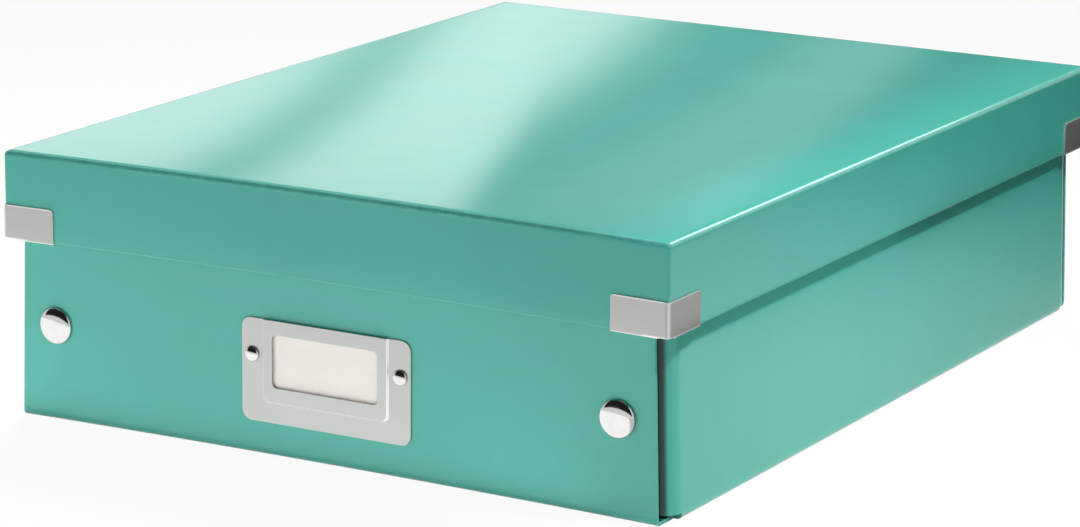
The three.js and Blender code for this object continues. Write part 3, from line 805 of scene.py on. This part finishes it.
def holder_surface(settings):
    """Outer face of the label holder: a grid that is dense at the pocket's steps, with a loop of quads to the
    rounded window inside it and another to the rounded outline, and pocket_height for its depth."""
    half = HOLDER_HIGH.x
    tall = HOLDER_HIGH.z - HOLDER_LOW.z
    beside = 0.0015
    window_x = WINDOW_HALF_WIDTH + beside
    low, high = WINDOW_BOTTOM - beside, WINDOW_TOP + beside
    edge = 0.002
    right = graded([window_x, *SIDE_STOPS, half - edge], [0.0003, 0.000125, 0.0005])
    middle = np.linspace(-window_x, window_x, 33)
    columns = np.concatenate([-right[::-1], middle[1:-1], right])
    below = graded([edge, *LOWER_STOPS, low], [0.0005, 0.00012, 0.0003, 0.0005])
    beyond = graded([high, tall - edge], [0.0005])
    sides = np.linspace(low, high, 16)
    rows = np.concatenate([below, sides[1:-1], beyond])
    x, z = np.meshgrid(columns, rows)
    faces = grid_faces(len(rows), len(columns))
    centre_x = x.reshape(-1)[faces].mean(1)
    centre_z = z.reshape(-1)[faces].mean(1)
    solid = (np.abs(centre_x) > window_x) | (centre_z < low) | (centre_z > high)
    patches = [(np.stack([x, z, np.zeros_like(x)], -1), faces[solid])]
    inner = perimeter(middle, sides)
    window = on_outline(inner, WINDOW_HALF_WIDTH, WINDOW_BOTTOM, WINDOW_TOP, WINDOW_CORNER_RADIUS)
    outer = perimeter(columns, rows)
    outline = on_outline(outer, half, 0, tall, HOLDER_CORNER_RADIUS)
    for start, finish, flip in ((inner, window, True), (outer, outline, False)):
        share = np.array([0, 0.4, 0.75, 1])[:, None, None]
        loops = start[None] * (1 - share) + finish[None] * share
        flat = np.concatenate([loops, np.zeros(loops.shape[:2] + (1,))], -1)
        patches.append((flat, grid_faces(len(share), len(start), wrap=True, flip=not flip)))
    points, faces = joined(patches)
    rise = pocket_height(points[:, 0], points[:, 1], settings.pocket_rise)
    back = HOLDER_HIGH.y
    return np.stack([points[:, 0], back - HOLDER_SHEET - rise, points[:, 1] + HOLDER_LOW.z], -1), faces


def turned(radii, heights, centre, axis, around):
    """A profile of radius and height turned about an axis: centre + axis * height + radius * (cosine and sine
    of the turn, across the axis)."""
    axis = np.array(axis, float)
    first = np.array([1.0, 0.0, 0.0])
    second = np.cross(axis, first)
    turn = np.linspace(0, 2 * math.pi, around, endpoint=False)
    circle = np.cos(turn)[:, None] * first + np.sin(turn)[:, None] * second
    points = np.array(centre) + heights[:, None, None] * axis + radii[:, None, None] * circle[None]
    return points, grid_faces(len(radii), around, wrap=True)


def domed(radius, rim, rise, corner, dimple, dimple_radius):
    """Profile of a domed button from the middle of its crown to that of its back: a quarter ellipse from the
    rise down to the rim, a rounded rim, a straight side and a flat back, less a smooth dimple if given."""
    sweep = np.linspace(0, math.pi / 2, 25)[:-1]
    crown_r = (radius - corner * 0.2) * np.sin(sweep)
    crown_h = rim + (rise - rim) * np.cos(sweep)
    if dimple_radius:
        near = np.clip(1 - (crown_r / dimple_radius) ** 2, 0, 1)
        crown_h = crown_h - dimple * near * near * (3 - 2 * near)
    side_r = np.array([radius, radius, radius - corner * 0.3, radius * 0.6, 0.0])
    side_h = np.array([rim, corner * 0.3, 0.0, 0.0, 0.0])
    return np.concatenate([crown_r, side_r]), np.concatenate([crown_h, side_h])


def button(box, facing, around, rim, rise, corner, radius=None, dimple=0.0, dimple_radius=0.0):
    """Domed button about the middle of a node's box, with its tip on the front (-1) or rear (1) of it."""
    low, high = box
    tip = low.y if facing < 0 else high.y
    centre = ((low.x + high.x) / 2, tip - facing * rise, (low.z + high.z) / 2)
    profile = domed(radius or (high.x - low.x) / 2, rim, rise, corner, dimple, dimple_radius)
    return turned(*profile, centre, (0, facing, 0), around)


class STORAGEBOX_OT_lid(bpy.types.Operator):
    """Build the lid: one covered board, folded down on four sides"""

    bl_idname = "storagebox.lid"
    bl_label = "Build Lid"

    def execute(self, context):
        settings = context.scene.storage_box
        points, faces = lid_surface(settings)
        board = finish_material(covered_board)
        piece = add_piece("lid_board", points, faces, [board], "lid_body", "board", ["lid"])
        place = mesh_points(piece)
        low_edge = place[:, 2] < LID_LOW.z + LOW_EDGE_WEAR
        inset = np.minimum(LID_HIGH.x - np.abs(place[:, 0]), LID_HIGH.y - np.abs(place[:, 1]))
        fold = (place[:, 2] > LID_HIGH.z - FOLD_WEAR) & (inset < FOLD_WEAR)
        mark(piece, "wear", np.where(low_edge, WEAR_AND_HIGHLIGHT["lid_edge"], np.where(fold, WEAR_AND_HIGHLIGHT["lid_fold"], 0.0)))
        weigh_normals(piece)
        return {"FINISHED"}


class STORAGEBOX_OT_tray(bpy.types.Operator):
    """Build the tray: one board with folded ends, leaning walls, rolled corners and tabs"""

    bl_idname = "storagebox.tray"
    bl_label = "Build Tray"

    def execute(self, context):
        settings = context.scene.storage_box
        points, faces = tray_surface(settings)
        board = finish_material(covered_board)
        cut = finish_material(cut_board)
        piece = add_piece("tray_board", points, faces, [board, cut], "tray_body", "board", ["tray"])
        place = mesh_points(piece)
        along = np.abs(place[:, 1])
        fold = (place[:, 2] < FLOOR_FOLD_WEAR) & (along > PANEL_BACK)
        mark(piece, "wear", np.where(fold, WEAR_AND_HIGHLIGHT["tray_fold"], 0.0))
        # Painted shade: a narrow strip of each rolled corner just past the end panel's edge, in the gap behind
        # it, is marked to be darkened.
        rolled = (along > TAB_FACE - ROLLED_CORNER_RADIUS) & (along < PANEL_BACK)
        beyond = np.abs(place[:, 0]) / lean(place[:, 2]) - (TRAY_HALF_WIDTH - PANEL_INSET)
        mark(piece, "shade", np.where(rolled, np.clip(1.1 - beyond / SHADE_WIDTH, 0, 1), 0))
        thicken(piece, BOARD, settings.cut_rounding, rim=1)
        weigh_normals(piece)
        return {"FINISHED"}


class STORAGEBOX_OT_corner_clips(bpy.types.Operator):
    """Build the four metal clips on the lid's lower corners"""

    bl_idname = "storagebox.corner_clips"
    bl_label = "Build Corner Clips"

    def execute(self, context):
        metal = finish_material(brushed_clip)
        for corner in CORNERS:
            points, faces = clip_surface(corner, context.scene.storage_box)
            piece = add_piece(
                f"clip_sheet_{corner}", points, faces, [metal], "lid_body", "clip_metal",
                [f"corner_clip_{corner}"],
            )
            # Painted highlight: the free edges, the bend and the turned-under lip are lightened towards a
            # bright colour.
            place = mesh_points(piece)
            inset = np.maximum(LID_HIGH.x - np.abs(place[:, 0]), LID_HIGH.y - np.abs(place[:, 1]))
            bend = inset < 0.4 * LID_CORNER_RADIUS
            below = place[:, 2] < LID_LOW.z + 0.0001
            folded = np.where(bend | below, WEAR_AND_HIGHLIGHT["clip_fold"], 0.0)
            mark(piece, "wear", np.where(on_free_edge(piece), WEAR_AND_HIGHLIGHT["clip_edge"], folded))
            thicken(piece, CLIP_SHEET, 0.0002)
            weigh_normals(piece)
        return {"FINISHED"}


class STORAGEBOX_OT_label_holder(bpy.types.Operator):
    """Build the pressed label holder and finish its card"""

    bl_idname = "storagebox.label_holder"
    bl_label = "Build Label Holder"

    def execute(self, context):
        points, faces = holder_surface(context.scene.storage_box)
        metal = finish_material(satin_plate)
        piece = add_piece("holder_plate", points, faces, [metal], "tray_body", "plate_metal", ["label_holder"])
        # Painted highlight: the pocket's sloping steps are lightened towards a bright colour.
        rise = HOLDER_HIGH.y - HOLDER_SHEET - mesh_points(piece)[:, 1]
        share = rise / context.scene.storage_box.pocket_rise
        mark(piece, "wear", np.where((share > 0.04) & (share < 0.96), WEAR_AND_HIGHLIGHT["pocket_step"], 0.0))
        thicken(piece, HOLDER_SHEET, 0.00018)
        weigh_normals(piece)
        refinish("label_card", finish_material(label_paper))
        return {"FINISHED"}


class STORAGEBOX_OT_press_studs(bpy.types.Operator):
    """Build the caps and eyelets of the press studs, and finish their sockets and knobs"""

    bl_idname = "storagebox.press_studs"
    bl_label = "Build Press Studs"

    def execute(self, context):
        metal = finish_material(bright_metal)
        for corner in CORNERS:
            outward = -1 if corner.startswith("front") else 1
            cap = button(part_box(f"stud_cap_{corner}"), outward, 72, CAP_RIM, CAP_RISE, CAP_CORNER)
            eyelet = button(
                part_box(f"stud_eyelet_{corner}"), -outward, 60, EYELET_RIM, EYELET_RISE, SMALL_CORNER,
                dimple=EYELET_DIMPLE, dimple_radius=EYELET_DIMPLE_RADIUS,
            )
            for kind, shape in (("cap", cap), ("eyelet", eyelet)):
                add_piece(
                    f"{kind}_{corner}", *shape, [metal], "tray_body", "stud_metal", [f"stud_{kind}_{corner}"],
                )
            for kind in ("socket", "knob"):
                refinish(f"stud_{kind}_{corner}", metal)
        return {"FINISHED"}


class STORAGEBOX_OT_rivets(bpy.types.Operator):
    """Build the domed rivets of the label holder, with their tails behind the panel"""

    bl_idname = "storagebox.rivets"
    bl_label = "Build Rivets"

    def execute(self, context):
        metal = finish_material(bright_metal)
        for side in ("left", "right"):
            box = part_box(f"label_rivet_{side}")
            head = button(box, -1, 48, RIVET_RIM, RIVET_RISE, SMALL_CORNER)
            tail = button(box, 1, 40, RIVET_TAIL_RIM, RIVET_TAIL_RISE, SMALL_CORNER, RIVET_TAIL_RADIUS)
            add_piece(
                f"rivet_{side}", *joined([head, tail]), [metal], "tray_body", "stud_metal",
                [f"label_rivet_{side}"],
            )
        return {"FINISHED"}


def stage_card(name, corners, strength):
    """A flat card that only reflections see: its corners in order and an even white glow."""
    mesh = bpy.data.meshes.new(name)
    mesh.from_pydata([tuple(corner) for corner in corners], [], [tuple(range(len(corners)))])
    material = bpy.data.materials.new(name)
    material.use_nodes = True
    nodes = material.node_tree.nodes
    nodes.remove(nodes["Principled BSDF"])
    glow = nodes.new("ShaderNodeEmission")
    glow.inputs["Strength"].default_value = strength
    material.node_tree.links.new(glow.outputs["Emission"], nodes["Material Output"].inputs["Surface"])
    mesh.materials.append(material)
    card = new_object(name, mesh)
    card.visible_camera = False
    card.visible_diffuse = False
    card.visible_shadow = False
    card.visible_transmission = False
    card.visible_volume_scatter = False
    return card


def fading_sheet(name, corners, start, end, least):
    """A dark sheet on the floor, for reflections and bounced light: its share grows along the depth from the
    least to the whole, by a smooth step between start and end."""
    sheet = stage_card(name, corners, DARK_GLOW)
    sheet.visible_diffuse = True
    tree = sheet.data.materials[0].node_tree
    nodes, links = tree.nodes, tree.links
    place = nodes.new("ShaderNodeTexCoord")
    split = nodes.new("ShaderNodeSeparateXYZ")
    links.new(place.outputs["Object"], split.inputs["Vector"])
    share = nodes.new("ShaderNodeMapRange")
    share.interpolation_type = "SMOOTHSTEP"
    for socket, number in zip(("From Min", "From Max", "To Min", "To Max"), (start, end, least, 1.0)):
        share.inputs[socket].default_value = number
    links.new(split.outputs["Y"], share.inputs["Value"])
    clear = nodes.new("ShaderNodeBsdfTransparent")
    mix = nodes.new("ShaderNodeMixShader")
    links.new(share.outputs["Result"], mix.inputs[0])
    links.new(clear.outputs["BSDF"], mix.inputs[1])
    links.new(nodes["Emission"].outputs["Emission"], mix.inputs[2])
    links.new(mix.outputs["Shader"], nodes["Material Output"].inputs["Surface"])
    return sheet


def stage_lamp(name, place, target, size, spread, power):
    """A flat lamp that looks from its place at a target, and that neither camera nor reflections see."""
    data = bpy.data.lights.new(name, "AREA")
    data.shape = "RECTANGLE"
    data.size, data.size_y = size
    data.energy = power
    data.spread = math.radians(spread)
    lamp = new_object(name, data)
    lamp.location = place
    lamp.visible_camera = False
    lamp.visible_glossy = False
    lamp.rotation_euler = (Vector(target) - Vector(place)).to_track_quat("-Z", "Y").to_euler()
    return lamp


def seen_directly(nodes, links):
    """1 for camera, glossy and transmission rays, 0 for the rest."""
    path = nodes.new("ShaderNodeLightPath")
    seen = path.outputs["Is Camera Ray"]
    for ray in ("Is Glossy Ray", "Is Transmission Ray"):
        either = nodes.new("ShaderNodeMath")
        either.operation = "MAXIMUM"
        links.new(seen, either.inputs[0])
        links.new(path.outputs[ray], either.inputs[1])
        seen = either.outputs["Value"]
    return seen


def floor_material(colour):
    """Pale floor that takes the box's shadow and is white to the camera and in reflections."""
    material = bpy.data.materials.new("studio_floor")
    material.use_nodes = True
    nodes, links = material.node_tree.nodes, material.node_tree.links
    surface = nodes["Principled BSDF"]
    surface.inputs["Base Color"].default_value = (*colour, 1)
    surface.inputs["Roughness"].default_value = 0.9
    surface.inputs["Specular IOR Level"].default_value = 0.0
    glow = nodes.new("ShaderNodeEmission")
    glow.inputs["Strength"].default_value = 1.0
    share = nodes.new("ShaderNodeMath")
    share.operation = "MULTIPLY"
    share.inputs[1].default_value = FLOOR_GLOW_SHARE
    links.new(seen_directly(nodes, links), share.inputs[0])
    mix = nodes.new("ShaderNodeMixShader")
    links.new(share.outputs["Value"], mix.inputs[0])
    links.new(surface.outputs["BSDF"], mix.inputs[1])
    links.new(glow.outputs["Emission"], mix.inputs[2])
    links.new(mix.outputs["Shader"], nodes["Material Output"].inputs["Surface"])
    return material


def white_surroundings(strength):
    """World that is white where it is seen or mirrored, and otherwise gives an even light of the strength."""
    world = bpy.data.worlds.new("studio_world")
    world.use_nodes = True
    nodes, links = world.node_tree.nodes, world.node_tree.links
    background = nodes["Background"]
    background.inputs["Color"].default_value = (1, 1, 1, 1)
    level = nodes.new("ShaderNodeMapRange")
    level.inputs["To Min"].default_value = strength
    level.inputs["To Max"].default_value = 1.0
    links.new(seen_directly(nodes, links), level.inputs["Value"])
    links.new(level.outputs["Result"], background.inputs["Strength"])
    bpy.context.scene.world = world


class STORAGEBOX_OT_stage(bpy.types.Operator):
    """Build the studio: floor, lamps, reflected cards, surroundings and camera"""

    bl_idname = "storagebox.stage"
    bl_label = "Build Studio"

    def execute(self, context):
        scene = context.scene
        settings = scene.storage_stage
        mesh = bpy.data.meshes.new("studio_floor")
        signs = ((-1, -1), (1, -1), (1, 1), (-1, 1))
        mesh.from_pydata([(x * FLOOR_REACH, y * FLOOR_REACH, 0) for x, y in signs], [], [(0, 1, 2, 3)])
        mesh.materials.append(floor_material(tuple(settings.floor_colour)))
        floor = new_object("studio_floor", mesh)
        floor.location.z = -FLOOR_DROP
        for name, place, target, size, spread, power in LAMPS:
            stage_lamp(name, place, target, size, spread, getattr(settings, power))
        for name, corners in CARDS.items():
            strength = settings.card_light * (RIGHT_CARD_SHARE if name == "card_right" else 1)
            stage_card(name, corners, strength)
        stage_card("edge_card", EDGE_CARD, settings.edge_light)
        stage_card("front_sheet", FRONT_SHEET, FRONT_SHEET_GLOW)
        # Dark strips that paint the shadow band under the lid's right skirt.
        stage_card("skirt_shade", SKIRT_SHADE, SHADE_GLOW)
        stage_card("rear_shade", REAR_SHADE, SHADE_GLOW).visible_diffuse = True
        flag = stage_card("top_flag", TOP_FLAG, 0)
        flag.visible_glossy = False
        flag.visible_shadow = True
        stage_card("dark_backdrop", DARK_BACKDROP, BACKDROP_GLOW)
        stage_card("dark_ceiling", DARK_CEILING, DARK_GLOW)
        fading_sheet("dark_floor", DARK_FLOOR, 0.0, 0.5, 0.2)
        white_surroundings(settings.sky_light)
        camera_data = bpy.data.cameras.new("camera")
        camera_data.lens = CAMERA_LENS
        camera_data.sensor_width = CAMERA_SENSOR
        camera_data.clip_start, camera_data.clip_end = CAMERA_CLIP
        camera = new_object("camera", camera_data)
        turn = Matrix(CAMERA_AXES).transposed().to_4x4()
        camera.matrix_world = Matrix.Translation(CAMERA_PLACE) @ turn
        scene.camera = camera
        scene.view_settings.view_transform = "Standard"
        return {"FINISHED"}


class STORAGEBOX_PT_panel(bpy.types.Panel):
    """Lists the box's settings and builders"""

    bl_idname = "STORAGEBOX_PT_panel"
    bl_label = "Storage Box"
    bl_space_type = "VIEW_3D"
    bl_region_type = "UI"
    bl_category = "Storage Box"

    def draw(self, context):
        for settings in (context.scene.storage_box, context.scene.storage_stage):
            for name in settings.bl_rna.properties.keys():
                if name not in ("rna_type", "name"):
                    self.layout.prop(settings, name)
        for operator in OPERATORS:
            self.layout.operator(operator.bl_idname)


OPERATORS = (
    STORAGEBOX_OT_tray,
    STORAGEBOX_OT_lid,
    STORAGEBOX_OT_corner_clips,
    STORAGEBOX_OT_label_holder,
    STORAGEBOX_OT_rivets,
    STORAGEBOX_OT_press_studs,
    STORAGEBOX_OT_stage,
)
CLASSES = (BoxSettings, StageSettings, *OPERATORS, STORAGEBOX_PT_panel)


def register():
    for item in CLASSES:
        bpy.utils.register_class(item)
    bpy.types.Scene.storage_box = PointerProperty(type=BoxSettings)
    bpy.types.Scene.storage_stage = PointerProperty(type=StageSettings)


def unregister():
    del bpy.types.Scene.storage_stage
    del bpy.types.Scene.storage_box
    for item in reversed(CLASSES):
        bpy.utils.unregister_class(item)


def main():
    register()
    bpy.ops.storagebox.tray()
    bpy.ops.storagebox.lid()
    bpy.ops.storagebox.corner_clips()
    bpy.ops.storagebox.label_holder()
    bpy.ops.storagebox.rivets()
    bpy.ops.storagebox.press_studs()
    bpy.ops.storagebox.stage()


if __name__ == "__main__":
    main()
